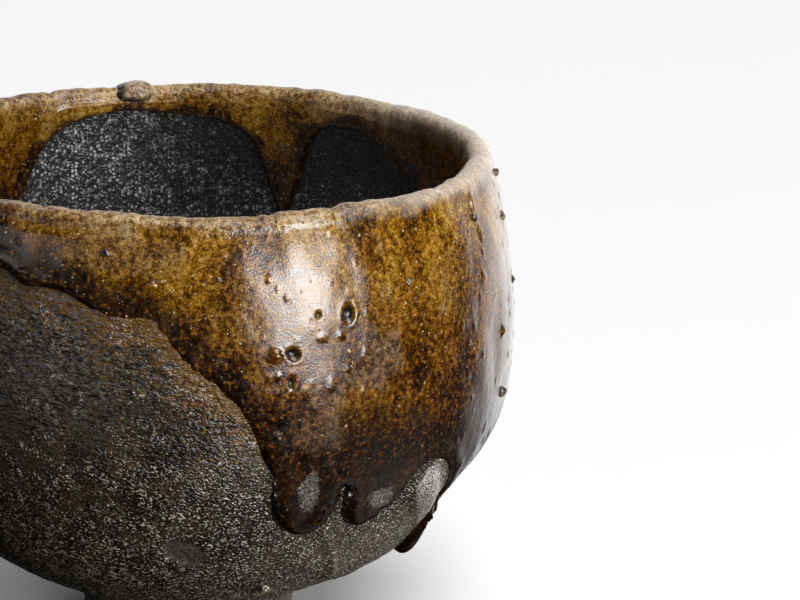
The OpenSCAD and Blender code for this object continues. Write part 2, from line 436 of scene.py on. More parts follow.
def glaze_relief(p):
    """Slow ripples, soft vertical rivulets, grit under the glaze and burst bubbles."""
    long = p * np.array([1.0, 1.0, 0.22])
    ripples = 0.2 * noise(p, 6, 61) + 0.09 * noise(long, 4, 64)
    pimples = 0.16 * smoothstep(noise(p, 1.5, 63), 0.45, 0.95)
    return ripples + pimples - 0.2 - pit_depth(p) + blister_height(p)


# ---- meshes

def grid_faces(columns, rows, closed_columns=True, closed_rows=False):
    """Outward quads of columns set anticlockwise, whose rows run up the outside."""
    i = np.arange(columns if closed_columns else columns - 1)[:, None]
    j = np.arange(rows if closed_rows else rows - 1)[None, :]
    i1, j1 = (i + 1) % columns, (j + 1) % rows
    quads = [i * rows + j, i1 * rows + j, i1 * rows + j1, i * rows + j1]
    shape = (i.shape[0], j.shape[1])
    return np.stack([np.broadcast_to(q, shape) for q in quads], -1).reshape(-1, 4).tolist()


def fan(pole, ring, faces_up):
    """Triangles from a pole to a ring of vertices that runs anticlockwise."""
    following = ring[1:] + ring[:1]
    pairs = zip(ring, following) if faces_up else zip(following, ring)
    return [[pole, a, b] for a, b in pairs]


def capped_faces(columns, rows):
    """Faces of a closed grid whose two poles follow its points, the low pole first."""
    low_pole, high_pole = columns * rows, columns * rows + 1
    first, last = ([i * rows + j for i in range(columns)] for j in (0, rows - 1))
    return grid_faces(columns, rows) + fan(low_pole, first, False) + fan(high_pole, last, True)


def add_mesh(name, material, points, faces, values=None):
    """A mesh object from millimetre points, with named values stored on its vertices."""
    mesh = bpy.data.meshes.new(name)
    mesh.from_pydata((np.asarray(points).reshape(-1, 3) * MM).tolist(), [], faces)
    mesh.shade_smooth()
    mesh.set_sharp_from_angle(angle=math.radians(SHARP_ANGLE))
    for key, value in (values or {}).items():
        layer = mesh.attributes.new(key, "FLOAT", "POINT")
        layer.data.foreach_set("value", np.asarray(value, np.float32).ravel())
    mesh.materials.append(material)
    made = bpy.data.objects.new(name, mesh)
    bpy.context.scene.collection.objects.link(made)
    return made


def add_piece(name, node, slot, material, points, faces, values=None):
    """A piece that stands for one CAD node, rides with it and takes its material."""
    piece = add_mesh(name, material, points, faces, values)
    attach(piece, "root")
    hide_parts(node)


def column_angles(count, run, front_weight):
    """Angles closer together at the front of the bowl and where an edge falls steeply."""
    a = np.linspace(-180, 180, 7201)
    fall = np.gradient(run(a), np.radians(a)) / CLAY_R
    front = 1 + front_weight * smoothstep(np.abs(turned(a - 20)), 100, 70)
    density = front * np.sqrt(1 + 0.5 * np.minimum(fall**2, 60))
    total = np.concatenate([[0], np.cumsum((density[1:] + density[:-1]) / 2)])
    return np.interp(np.arange(count) * total[-1] / count, total, a)


def clay_section(angle, edge, inner_edge):
    """The clay's outline from the foot over the lip to the pool, in six named parts."""
    base = crest_z(angle) - LIP_R
    bottom = np.full_like(angle, FOOT_H)
    pool_top = np.full_like(angle, floor_height(POOL_R))
    bare_top, inner_bare_top = edge + UNDERLAP, inner_edge + UNDERLAP
    bare_in_z = rows_between(inner_bare_top, pool_top, INNER_BARE_ROWS)[:, 1:]
    shares = np.linspace(0, 1, POOL_ROWS)[1:-1]
    pool_r = POOL_R * np.broadcast_to(1 - shares, (len(angle), len(shares)))
    return {
        "bare": wall_section(rows_between(bottom, bare_top, BARE_ROWS, 1.25), outside_r),
        "glazed": wall_section(rows_between(bare_top, base, COVERED_ROWS)[:, 1:], outside_r),
        "lip": lip_arc(angle, CLAY_LIP_SHARES),
        "glazed_in": wall_section(rows_between(base, inner_bare_top, INNER_COVERED_ROWS), inside_r),
        "bare_in": wall_section(bare_in_z, inside_r),
        "pool": np.stack([pool_r, floor_height(pool_r)], -1),
    }


def build_clay(material):
    """The bare wall, the clay under the coats, the lip, the inside and its pool."""
    angle = column_angles(CLAY_COLUMNS, np.zeros_like, 1.0)
    parts = clay_section(angle, run_edge(angle), inner_run_edge(angle))
    section = np.concatenate(list(parts.values()), axis=1)
    part_of = np.repeat(list(parts), [part.shape[1] for part in parts.values()])
    inside = np.isin(part_of, ["glazed_in", "bare_in", "pool"])
    inward = np.where(inside, 1.0, 0.0)
    inward[part_of == "lip"] = CLAY_LIP_SHARES

    p = placed(section, angle)
    above_foot = smoothstep(p[..., 2], FOOT_H, FOOT_H + 5)
    amount = hand_wobble(p, inward) * np.where(inside, 1, above_foot)
    amount += np.where(part_of == "bare", clay_relief(p) * above_foot, 0)
    amount += np.where(np.isin(part_of, ["bare_in", "pool"]), inside_relief(p), 0)
    amount -= np.where(np.isin(part_of, ["glazed", "lip", "glazed_in"]), COVERED, 0)
    p = placed(raised(section, amount), angle)

    points = np.concatenate([p.reshape(-1, 3), [[0, 0, FOOT_H], [0, 0, floor_height(0.0)]]])
    outside = np.broadcast_to(~inside, p.shape[:2]).astype(float)
    below_glaze = np.maximum(run_end(angle)[:, None] - p[..., 2], 0) - 2.5 * noise(p, 6, 54)
    flash = np.exp(-np.maximum(below_glaze, 0) / 7) * outside * smoothstep(angle_of(p), 16, 6)
    values = {
        "outside": np.append(outside, [1, 0]),
        "thumb": np.append(thumb_mark(p) * outside, [0, 0]),
        "flash": np.append(flash, [0, 0]),
        "ridge": np.append(ridge(p) * outside, [0, 0]),
    }
    add_piece("clay_wall", "clay_body", "wall_clay", material, points, capped_faces(*p.shape[:2]), values)


def near_edge(points, edge_points):
    """Distance from each point to the nearest of the points along an edge."""
    tree = KDTree(len(edge_points))
    for i, q in enumerate(edge_points):
        tree.insert(q, i)
    tree.balance()
    flat = points.reshape(-1, 3)
    return np.array([tree.find(q)[2] for q in flat]).reshape(points.shape[:-1])


def roll_off(distance, width):
    """Thickness share of a melted edge: a quarter round that ends at the edge."""
    u = np.clip(distance / width, 0, 1)
    return np.sqrt(1 - (1 - u) ** 2)


def coat_thickness(share, edge_t):
    """Thickness at a share of the way down from the crest to each column's edge."""
    low = mix(LIP_GLAZE_T, GLAZE_T, np.clip(share / 0.25, 0, 1))
    high = np.clip((share - 0.25) / 0.75, 0, 1) ** 2
    return mix(low, edge_t[:, None], high)


def border_points(count, run, radius_of):
    """Points along a coat's edge, for near_edge."""
    a = np.linspace(-180, 180, count, endpoint=False)
    z = run(a)
    return on_circle(a, radius_of(z), z)


def rim_of(p, reach):
    """1 on the lip's thin crest, falling to 0 at a reach below it."""
    return smoothstep(p[..., 2] + 0.3 * reach * noise(p, 3, 93), BOWL_H - reach, BOWL_H - 0.3)


def below_lip_of(section):
    """0 on the lip's crest, rising to 1 a little below it."""
    return smoothstep(section[..., 1], BOWL_H + 0.4, BOWL_H - 2.4)


def coat_skins(section, angle, lift, wobble, side):
    """Outer and under face of a coat, without the first row, which only sets the slope. Side
    is 1 where the clay is on the left of the section and -1 where it's on the right."""
    surface = placed(raised(section, side * (lift + wobble)), angle)
    under = placed(raised(section, side * (wobble - SUNK - UNDER_GAP)), angle)
    return surface[:, 1:], under[:, 1:]


def some_rows(first, last, step):
    """Row numbers from first to last, a step apart, with the last always there."""
    return np.unique(np.append(np.arange(first, last, step), last))


def looped(face_rows, under_rows, surface, under, to_border):
    """A closed loop of some rows of the under face and the outer face at each angle, and
    each point's distance from the border."""
    loop = np.concatenate([under[:, under_rows], surface[:, face_rows]], axis=1)
    return loop, np.concatenate([to_border[:, under_rows], to_border[:, face_rows]], axis=1)


def glaze_values(p, to_border, rim_reach):
    """What the glaze's material reads at each point of a coat."""
    return {
        "rim": rim_of(p, rim_reach),
        "edge": np.minimum(to_border, EDGE_CAP),
        "dust": dust_and_sheen_of(p),
        "pit": pit_mask(p),
        "crystal": crystals_of(p),
    }


def coat_section(angle, edge, rows, radius_of, side):
    """A coat's outline from just past the crest to its edge, and how far inward each of its
    points lies. Side is 0 outside and 1 inside."""
    shares = np.linspace(0.5 + LIP_OVERLAP * (1 - 2 * side), side, LIP_ROWS)[:-1]
    down = wall_section(rows_between(crest_z(angle) - LIP_R, edge, rows), radius_of)
    section = np.concatenate([lip_arc(angle, shares), down], axis=1)
    return section, np.append(shares, np.full(rows, side))


def add_coat(names, material, loop, distance, rim_reach):
    """A coat that runs all the way round the bowl. Names are those of piece, node and slot."""
    values = glaze_values(loop, distance, rim_reach)
    add_piece(*names, material, loop, grid_faces(*loop.shape[:2], True, True), values)


def outer_glaze_skins(angle, edge, end):
    """Outer and under face of the coat and its drops in one, their points' distances from
    the border, and the row where the coat ends and the drops start."""
    section, inward = coat_section(angle, edge, COAT_ROWS, outside_r, 0)
    coat_rows = len(inward)
    drop = wall_section(rows_between(edge, end, DROP_ROWS)[:, 1:], outside_r)
    section = np.concatenate([section, drop], axis=1)
    inward = np.append(inward, np.zeros(DROP_ROWS - 1))

    along = (np.arange(coat_rows) / (coat_rows - 1))[None, :]
    edge_t = edge_height(EDGE_ROLL, angle)
    swell = np.clip((edge - end) / 6, 0, 1)[:, None] * np.linspace(0, 1, DROP_ROWS)[1:] ** 1.6
    coat_t, drop_t = coat_thickness(along, edge_t), mix(edge_t[:, None], DROP_T, swell)
    thickness = np.concatenate([coat_t, drop_t], axis=1)

    p = placed(section, angle)
    to_border = near_edge(p, border_points(BORDER_POINTS, run_end, outside_r))
    soft = roll_off(to_border, 0.8 + 0.9 * thickness)
    bead = 0.2 * edge_t[:, None] * np.exp(-(((to_border - 2.4) / 1.6) ** 2))
    calm = np.concatenate([np.ones((len(angle), coat_rows)), 1 - 0.7 * swell], axis=1)
    relief = glaze_relief(p) * below_lip_of(section) * calm
    lift = (thickness + bead + relief) * soft - SUNK * (1 - soft)
    skins = coat_skins(section, angle, lift, hand_wobble(p, inward), -1)
    return (*skins, to_border[:, 1:]), coat_rows - 2


def add_drops(material, drops):
    """The drops as one piece, from each one's loops and their distances from the border."""
    faces, total = [], 0
    for loop, _ in drops:
        n, m = loop.shape[:2]
        ends = [list(range(m)), list(range((n - 1) * m, n * m))[::-1]]
        faces += [[v + total for v in face] for face in grid_faces(n, m, False, True) + ends]
        total += n * m
    points = np.concatenate([loop.reshape(-1, 3) for loop, _ in drops])
    to_border = np.concatenate([distance.ravel() for _, distance in drops])
    values = glaze_values(points, to_border, RIM_REACH_OUTSIDE)
    add_piece("glaze_runs", "glaze_drops", "pooled_glaze", material, points, faces, values)


def build_outer_glaze(coat_material, drop_material):
    """The coat down to its edge, and the drops below it as closed solids of their own."""
    angle = column_angles(COAT_COLUMNS, run_end, 1.3)
    edge, end = run_edge(angle), run_end(angle)
    parts, border_row = outer_glaze_skins(angle, edge, end)
    last_row = parts[0].shape[1] - 1

    coat = looped(np.arange(border_row, -1, -1), some_rows(0, border_row, 12), *parts)
    names = ("outer_glaze_coat", "outer_glaze", "ash_glaze")
    add_coat(names, coat_material, *coat, RIM_REACH_OUTSIDE)

    face_rows = np.arange(last_row, border_row - 1, -1)
    under_rows = some_rows(border_row, last_row, 8)
    drops = []
    for at, half, _ in DROPS:
        own = (np.abs(turned(angle - at)) < half) & (edge - end > 0.3)
        drops.append(looped(face_rows, under_rows, *(part[own] for part in parts)))
    add_drops(drop_material, drops)


def build_inner_glaze(material):
    """The band inside the lip, with its runs."""
    angle = column_angles(INNER_COAT_COLUMNS, inner_run_edge, 0.0)
    edge = inner_run_edge(angle)
    section, inward = coat_section(angle, edge, INNER_COAT_ROWS, inside_r, 1)
    rows = len(inward)

    p = placed(section, angle)
    to_border = near_edge(p, border_points(INNER_BORDER_POINTS, inner_run_edge, inside_r))
    soft = roll_off(to_border, 1.3)
    along = (np.arange(rows) / (rows - 1))[None, :]
    thickness = coat_thickness(along, np.full_like(edge, INNER_EDGE_T))
    relief = layered(p, 71, (0.22, 6), (0.15, 2.4), (0.06, 1.2))
    lift = (thickness + relief * below_lip_of(section)) * soft - SUNK * (1 - soft)
    skins = coat_skins(section, angle, lift, hand_wobble(p, inward), 1)
    coat = looped(np.arange(rows - 1), some_rows(0, rows - 2, 12)[::-1], *skins, to_border[:, 1:])
    names = ("inner_glaze_coat", "inner_glaze", "inner_ash_glaze")
    add_coat(names, material, *coat, RIM_REACH_INSIDE)


def build_foot(material):
    """The luted ring: a trimmed flank, a rubbed resting face and a hollow inside."""
    r_top, r_hollow = float(outside_r(FOOT_H)), FOOT_R - FOOT_W
    turn = np.radians(np.linspace(90, 0, 22))
    hollow = np.linspace((r_hollow - 1, FOOT_H), (r_hollow, 0.7), 18)
    rest = np.linspace((r_hollow + 0.6, 0), (FOOT_R - 0.8, 0), 14)
    side = np.linspace((FOOT_R, 0.6), (FOOT_R, 0.5 * FOOT_H), 15)[:-1]
    flank_r = r_top - (r_top - FOOT_R) * np.sin(turn)
    flank = np.stack([flank_r, FOOT_H * (0.5 + 0.5 * np.cos(turn))], -1)
    top = np.linspace((r_top, FOOT_H), (r_hollow - 1, FOOT_H), 14)[1:-1]
    inner_corner, outer_corner = [(r_hollow + 0.15, 0.2)], [(FOOT_R - 0.25, 0.25)]
    profile = np.concatenate([hollow, inner_corner, rest, outer_corner, side, flank, top])
    angle = np.linspace(-180, 180, FOOT_COLUMNS, endpoint=False)
    section = np.broadcast_to(profile, (len(angle), *profile.shape)).copy()
    p = placed(section, angle)
    free = smoothstep(p[..., 2], 0.05, 0.8) * smoothstep(p[..., 2], FOOT_H, FOOT_H - 0.6)
    uneven = layered(p, 81, (0.25, 9), (0.12, 2.5), (0.07, 1.1))
    section[..., 0] += free * uneven
    section[..., 1] += 0.18 * np.maximum(noise(p, 3, 84), 0) * smoothstep(p[..., 2], 0.8, 0.0)
    ring = placed(section, angle)
    faces = grid_faces(*ring.shape[:2], True, True)
    add_piece("foot_ring_trimmed", "foot_ring", "foot_clay", material, ring, faces)


def grain_places(node):
    """Centre and radius of each grain in a CAD node, whose grains lie well apart."""
    points = np.array([v.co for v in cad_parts[node].data.vertices]) / MM
    found = []
    while len(points):
        own = np.linalg.norm(points - points[0], axis=1) < GRAIN_GAP
        low, high = points[own].min(axis=0), points[own].max(axis=0)
        found.append(((low + high) / 2, (high[2] - low[2]) / 2))
        points = points[~own]
    return sorted(found, key=lambda grain: tuple(grain[0]))


def lumpy_ball(centre, radii, turn, seed, rows, lump):
    """A closed pebble: a ball stretched to radii, turned about Z and made lumpy."""
    lat = np.radians(np.linspace(-90, 90, rows)[1:-1])[None, :]
    lon = np.radians(np.arange(2 * rows) * 180 / rows)[:, None]
    ball = np.stack([np.cos(lat) * np.cos(lon), np.cos(lat) * np.sin(lon), np.sin(lat) + 0 * lon], -1)
    faces = capped_faces(*ball.shape[:2])
    ball = np.concatenate([ball.reshape(-1, 3), [[0, 0, -1], [0, 0, 1]]])
    size = 1 + lump * noise(ball + seed * 3.7, 0.9, seed) + 0.5 * lump * noise(ball + seed, 0.4, seed)
    c, s = math.cos(turn), math.sin(turn)
    shaped = ball * size[:, None] * np.array(radii) @ np.array([[c, s, 0], [-s, c, 0], [0, 0, 1]])
    return shaped + np.array(centre), faces


def build_lip_stone(material):
    """The pebble, a little larger and lower than its CAD stand-in."""
    low, high = node_box("lip_stone")
    centre, half = (low + high) / 2, (high - low) / 2
    turn = math.atan2(centre[0], -centre[1])
    centre += np.array([0, 0, -0.3])
    radii = [half[0] * 1.08, half[2] * 1.3, half[2] * 0.92]
    points, faces = lumpy_ball(centre, radii, turn, 9, 40, 0.14)
    add_piece("lip_pebble", "lip_stone", "pebble", material, points, faces)


def build_grains(material):
    """A lumpy grain in the place of each of the CAD's."""
    points, faces, offset = [], [], 0
    for i, (centre, radius) in enumerate(grain_places("wall_grains")):
        turn = math.atan2(centre[0], -centre[1])
        p, f = lumpy_ball(centre, [radius, radius * 0.8, radius * 1.1], turn, 20 + i, 14, 0.3)
        points.append(p)
        faces += [[v + offset for v in face] for face in f]
        offset += len(p)
    add_piece("wall_grit", "wall_grains", "grain", material, np.concatenate(points), faces)


# ---- materials

class Nodes:
    """Shader nodes of one tree, with short calls for the usual ones."""

    def __init__(self, tree):
        self.tree = tree

    def node(self, kind, inputs, **settings):
        """A new node, with its inputs linked or set by name or number."""
        made = self.tree.nodes.new(kind)
        for key, value in settings.items():
            setattr(made, key, value)
        for key, value in inputs.items():
            self.put(made.inputs[key], value)
        return made

    def put(self, socket, value):
        """Links a socket to another socket, or sets it to a plain value."""
        if isinstance(value, bpy.types.NodeSocket):
            self.tree.links.new(value, socket)
        else:
            socket.default_value = value

    def math(self, operation, a, b):
        return self.node("ShaderNodeMath", {0: a, 1: b}, operation=operation).outputs[0]

    def plus(self, a, b):
        return self.math("ADD", a, b)

    def minus(self, a, b):
        return self.math("SUBTRACT", a, b)

    def times(self, a, b):
        return self.math("MULTIPLY", a, b)

    def most(self, a, b):
        return self.math("MAXIMUM", a, b)

    def fit(self, value, low, high, to_low=0.0, to_high=1.0):
        """Smoothly maps a value from low and high to new ends, and clamps it."""
        ends = {"From Min": low, "From Max": high, "To Min": to_low, "To Max": to_high}
        inputs = {"Value": value, **ends}
        node = self.node("ShaderNodeMapRange", inputs, interpolation_type="SMOOTHSTEP")
        return node.outputs["Result"]

    def mix(self, first, second, share):
        """Colour from the first at share 0 to the second at share 1."""
        colours = [(*c, 1) if isinstance(c, tuple) else c for c in (first, second)]
        inputs = {0: share, 6: colours[0], 7: colours[1]}
        return self.node("ShaderNodeMix", inputs, data_type="RGBA").outputs[2]


class Paint(Nodes):
    """A surface material, whose base colour is built up in layers."""

    def __init__(self, name):
        self.material = bpy.data.materials.new(name)
        self.material.use_nodes = True
        super().__init__(self.material.node_tree)
        self.shader = self.tree.nodes["Principled BSDF"]
        self.place = self.node("ShaderNodeTexCoord", {}).outputs["Object"]
        self.colour = None

    def lay(self, colour, share, strength=1.0):
        """Lays a colour over the ones before it, in a share times a strength."""
        self.colour = self.mix(self.colour, colour, self.times(share, strength))

    def finish(self, bumps=(), **inputs):
        """Sets the shader's inputs, and the bumps as (height from 0 to 1, depth)."""
        for key, value in inputs.items():
            self.put(self.shader.inputs[key.replace("_", " ")], value)
        self.put(self.shader.inputs["Base Color"], self.colour)
        normal = None
        for value, depth in bumps:
            inputs = {"Height": value, "Distance": depth * MM}
            if normal:
                inputs["Normal"] = normal
            normal = self.node("ShaderNodeBump", inputs).outputs["Normal"]
        if normal:
            self.put(self.shader.inputs["Normal"], normal)
        return self.material

    def where(self, size, shape, turn, shift):
        """Object coordinates in units of a feature size, which is given in millimetres,
        times its shape along each axis after a turn about Y."""
        inputs = {
            "Vector": self.place,
            "Scale": [size * MM * length for length in shape],
            "Rotation": (0, math.radians(turn), 0),
            "Location": (shift * MM, 2 * shift * MM, 3 * shift * MM),
        }
        return self.node("ShaderNodeMapping", inputs, vector_type="TEXTURE").outputs["Vector"]

    def noise(self, size, detail, shape=(1, 1, 1), turn=0, shift=0, rough=0.55):
        """Soft noise round 0.5 with features of a size."""
        place = self.where(size, shape, turn, shift)
        inputs = {"Vector": place, "Scale": 1, "Detail": detail, "Roughness": rough}
        return self.node("ShaderNodeTexNoise", inputs).outputs["Fac"]

    def flecks(self, size, low, high, shape=(1, 1, 1), turn=0, shift=0):
        """1 inside uneven flecks: where noise of that size passes from low to high."""
        return self.fit(self.noise(size, 1, shape, turn, shift), low, high)

    def cells(self, size, shift):
        """Cells of space: the distance from each one's middle, and two numbers of its own."""
        place = self.where(size, (1, 1, 1), 0, shift)
        texture = self.node("ShaderNodeTexVoronoi", {"Vector": place, "Scale": 1})
        parts = self.node("ShaderNodeSeparateColor", {"Color": texture.outputs["Color"]})
        return texture.outputs["Distance"], parts.outputs["Red"], parts.outputs["Green"]

    def specks(self, size, share, radius, shift):
        """1 inside ragged specks of many sizes, in a share of the cells of space."""
        distance, luck, scale = self.cells(size, shift)
        uneven = self.fit(self.noise(0.3 * size, 1, shift=shift), 0.3, 0.7, -0.5 * radius, 0.5 * radius)
        near = self.fit(self.math("DIVIDE", self.plus(distance, uneven), scale), radius, 0.5 * radius)
        return self.times(near, self.math("GREATER_THAN", luck, 1 - share))

    def pebbles(self, size, shift):
        """Close round grains: 1 on their middles and 0 in the gaps, and each one's own number."""
        distance, luck, _ = self.cells(size, shift)
        return self.fit(distance, 0.65, 0.1), luck

    def tone(self, *parts):
        """0.5 plus each noise's distance from its middle, times a weight."""
        total = 0.5
        for value, weight in parts:
            total = self.plus(self.times(self.minus(value, 0.5), weight), total)
        return total

    def ramp(self, value, *stops):
        """Colour at a value, from stops of (position, colour)."""
        node = self.node("ShaderNodeValToRGB", {"Fac": value})
        elements = node.color_ramp.elements
        while len(elements) < len(stops):
            elements.new(0.5)
        for element, (position, colour) in zip(elements, stops):
            element.position = position
            element.color = (*colour, 1)
        return node.outputs["Color"]

    def value(self, name):
        """A value that the mesh stores on its vertices."""
        return self.node("ShaderNodeAttribute", {}, attribute_name=name).outputs["Fac"]

    def height(self, axis):
        """One object coordinate, in millimetres."""
        parts = self.node("ShaderNodeSeparateXYZ", {"Vector": self.place})
        return self.times(parts.outputs[axis], 1 / MM)


# How strongly the glassy surfaces bend light
GLASSY_IOR = 1.6

# The lean of the clay's drawn-out grains, which run downhill to the right
GRAIN_TURN = -62


def clay_paint(name, dark, middle, pale):
    """Gritty stoneware: close grains, drawn out downhill, and broader patches."""
    paint = Paint(name)
    grain = paint.noise(0.36, 1, (1, 1, 1.9), GRAIN_TURN, 1, 0.6)
    patches = paint.noise(7, 3, shift=3)
    tone = paint.tone((grain, 1.0), (patches, 0.7))
    paint.colour = paint.ramp(tone, (0.3, dark), (0.5, middle), (0.72, pale))
    return paint, grain, patches


def add_washes(paint, patches, inner):
    """Broad stains and painted light: warm patches, amber under the glaze, a painted sheen on the upper
    left, painted bounce light low on the right, and dark inside.
    """
    z, x = paint.height("Z"), paint.height("X")
    paint.lay((0.05, 0.03, 0.014), paint.fit(patches, 0.45, 0.7), 0.3)
    flash = paint.plus(paint.noise(1.1, 3, shift=12), paint.times(paint.value("flash"), 0.36))
    paint.lay((0.17, 0.08, 0.01), paint.fit(flash, 0.58, 0.8), 0.8)
    # Painted sheen: a pale grey on flecks of the upper left's clay stands in for the light they catch
    painted_left_sheen = paint.times(paint.fit(x, 12, -30), paint.fit(z, 42, 62))
    sheen_flecks = paint.fit(paint.noise(0.5, 3, (2.2, 2.2, 1), 0, 27), 0.45, 0.6, 0.0, 0.85)
    paint.lay((0.105, 0.1, 0.1), painted_left_sheen, sheen_flecks)
    # Painted light: lighter towards the lower right, standing in for light thrown up from below
    painted_bounce_light = paint.times(paint.fit(x, 4, 34), paint.fit(z, 36, 24))
    paint.lay((0.2, 0.152, 0.112), painted_bounce_light, 0.5)
    band = paint.times(paint.fit(z, BAND_Z + 0.6, BAND_Z - 0.8), paint.fit(x, 0, 25))
    paint.lay((0.13, 0.105, 0.082), band, 0.6)
    paint.lay((0.011, 0.0108, 0.011), inner, 0.8)


def add_painted_glints(paint, outside):
    """Pale flecks of fused glassy grain outside, painted near white as painted highlights of their sparkle,
    closer together low down and at the right.
    """
    z, x = paint.height("Z"), paint.height("X")
    fine = paint.flecks(0.33, 0.6, 0.645, (1, 1, 1.5), GRAIN_TURN, 14)
    coarse = paint.flecks(0.55, 0.66, 0.7, (1, 1, 1.7), GRAIN_TURN, 24)
    clusters = paint.noise(3.2, 4, (1, 1, 1.8), GRAIN_TURN, 15, 0.7)
    nearer = paint.times(paint.fit(z, 58, 18, 0.2, 0.52), paint.fit(x, -45, 25, 0.7, 1.0))
    crowded = paint.fit(paint.plus(clusters, nearer), 0.62, 1.02, 0.04, 1.0)
    painted_glints = paint.times(paint.times(paint.most(fine, coarse), crowded), outside)
    # Painted highlights: near-white flecks stand in for the sparkle of glassy grains
    paint.lay((0.95, 0.88, 0.77), painted_glints)
    return painted_glints


def add_ash_and_painted_sheen(paint, inner):
    """Pale grey specks on the bare inside, partly ash and partly painted highlights, over a faint painted
    sheen of the same grey; both are thicker in uneven patches and, as painted light, towards the left and
    lower down.
    """
    z, x = paint.height("Z"), paint.height("X")
    specks_and_glints, dot_luck = paint.pebbles(0.75, 9)
    tiny, tiny_luck = paint.pebbles(0.45, 19)
    specks_and_glints = paint.times(specks_and_glints, paint.fit(dot_luck, 0.4, 1.1))
    tiny = paint.times(tiny, paint.fit(tiny_luck, 0.5, 1.0, 0.0, 0.7))
    # Painted light: more specks and sheen towards the left and lower down
    lit = paint.fit(x, 8, -22, 0.0, 0.4)
    low_down = paint.fit(z, 82, 64, -0.15, 0.1)
    drifts_and_light = paint.plus(paint.noise(4, 3, shift=17), paint.plus(lit, low_down))
    ash_and_sheen = paint.times(paint.fit(drifts_and_light, 0.4, 0.85, 0.15, 1.2), inner)
    paint.lay((0.06, 0.059, 0.058), ash_and_sheen, 0.4)
    paint.lay((0.85, 0.84, 0.82), ash_and_sheen, paint.most(specks_and_glints, tiny))


def wall_clay():
    """The body: dark gritty clay, glassy outside and dry inside, with a thumb mark."""
    paint, grain, patches = clay_paint(
        "fired_clay", (0.006, 0.0038, 0.0022), (0.02, 0.013, 0.0075), (0.078, 0.053, 0.032))
    outside, thumb = paint.value("outside"), paint.value("thumb")
    inner = paint.minus(1.0, outside)
    add_washes(paint, patches, inner)
    painted_glints = add_painted_glints(paint, outside)
    add_ash_and_painted_sheen(paint, inner)
    paint.lay((0.4, 0.31, 0.2), paint.specks(2.8, 0.4, 0.2, 4), outside)
    print_grain = paint.noise(0.4, 1, shift=18)
    printed = paint.ramp(print_grain, (0.35, (0.03, 0.026, 0.023)), (0.65, (0.12, 0.11, 0.1)))
    paint.lay(printed, thumb, 0.9)
    # Painted reflection: pale silvery flecks on the ridge under the right-hand run stand in for the light
    # it reflects
    painted_silver_sheen = paint.fit(paint.value("ridge"), 0.3, 0.6)
    paint.lay((0.62, 0.585, 0.54), painted_silver_sheen, paint.flecks(0.34, 0.4, 0.55, shift=22))

    high = paint.fit(paint.height("Z"), 40, 62, 0.3, 1.0)
    lines = paint.times(paint.noise(0.7, 3, (3.5, 3.5, 1), 0, 6), paint.times(high, outside))
    crumbs = paint.noise(0.9, 1, (1, 1, 1.5), GRAIN_TURN, 7)
    gritty = paint.minus(1.0, paint.times(thumb, 0.7))
    gritty = paint.times(gritty, paint.fit(high, 0.4, 1.0, 1.0, 0.5))
    bumps = [(lines, 0.6), (crumbs, 0.14), (paint.times(grain, gritty), 0.36), (painted_glints, 0.12)]
    return paint.finish(bumps, Roughness=paint.fit(grain, 0.38, 0.62, 0.28, 0.11), IOR=GLASSY_IOR)


def foot_clay():
    """Dry trimmed clay, darkened all over as painted shade, paler where the resting face is rubbed."""
    # Painted shade: the clay's tones here are kept dark for the shade under the bowl
    paint, grain, patches = clay_paint(
        "trimmed_clay", (0.02, 0.016, 0.013), (0.055, 0.045, 0.036), (0.14, 0.12, 0.1))
    paint.lay((0.24, 0.2, 0.165), paint.fit(paint.height("Z"), 1.2, 0), 0.6)
    lines = paint.noise(0.8, 2, (8, 8, 1), 0, 4)
    return paint.finish([(lines, 0.25), (grain, 0.2)], Roughness=paint.fit(patches, 0.3, 0.7, 0.5, 0.8))


def add_rim(paint, tone, mottle, rim):
    """Dry and pale along the lip's crest; less pale towards the left, as painted shade, and palest at the
    right, as painted light.
    """
    x = paint.height("X")
    dry = paint.ramp(
        tone, (0.28, (0.1, 0.048, 0.012)), (0.5, (0.24, 0.14, 0.045)), (0.78, (0.5, 0.38, 0.22)))
    dried = paint.times(rim, paint.fit(mottle, 0.4, 0.6, 0.15, 0.8))
    # Painted shade: the dry share falls towards the left
    paint.lay(dry, dried, paint.fit(x, -40, -10, 0.35, 1.0))
    # Painted light: pale cream laid on the crest towards the right
    paint.lay((0.72, 0.62, 0.5), rim, paint.fit(x, 22, 48, 0.0, 0.5))


def add_specks(paint, mottle, fallen, edge):
    """Ash specks, orange flakes, pale specks that are partly painted highlights, crumbs and burnt spots.
    Returns the bumps that they make.
    """
    not_pooled = paint.fit(edge, 0.5, 6.0, 0.1, 0.8)
    cream = paint.times(paint.specks(1.7, 0.5, 0.2, 8), paint.fit(fallen, 50, 26, 0.25, 1.0))
    paint.lay((0.62, 0.44, 0.18), cream, not_pooled)
    clumped = paint.times(paint.fit(mottle, 0.42, 0.6), paint.fit(fallen, 54, 34, 0.15, 0.6))
    paint.lay((0.4, 0.145, 0.002), paint.flecks(0.7, 0.52, 0.72, shift=20), clumped)
    # Partly painted highlights: bright pale specks, more of them higher up
    specks_and_glints = paint.times(paint.specks(1.15, 0.5, 0.2, 31), paint.fit(fallen, 34, 18, 0.15, 0.8))
    paint.lay((0.74, 0.58, 0.32), specks_and_glints)
    blobs = paint.specks(4.2, 0.6, 0.1, 21)
    paint.lay((0.6, 0.46, 0.25), blobs, not_pooled)
    burnt = paint.specks(1.7, 0.35, 0.26, 11)
    paint.lay((0.02, 0.01, 0.005), burnt, 0.8)
    return [(cream, 0.2), (specks_and_glints, 0.12), (blobs, 0.3), (burnt, -0.12)]


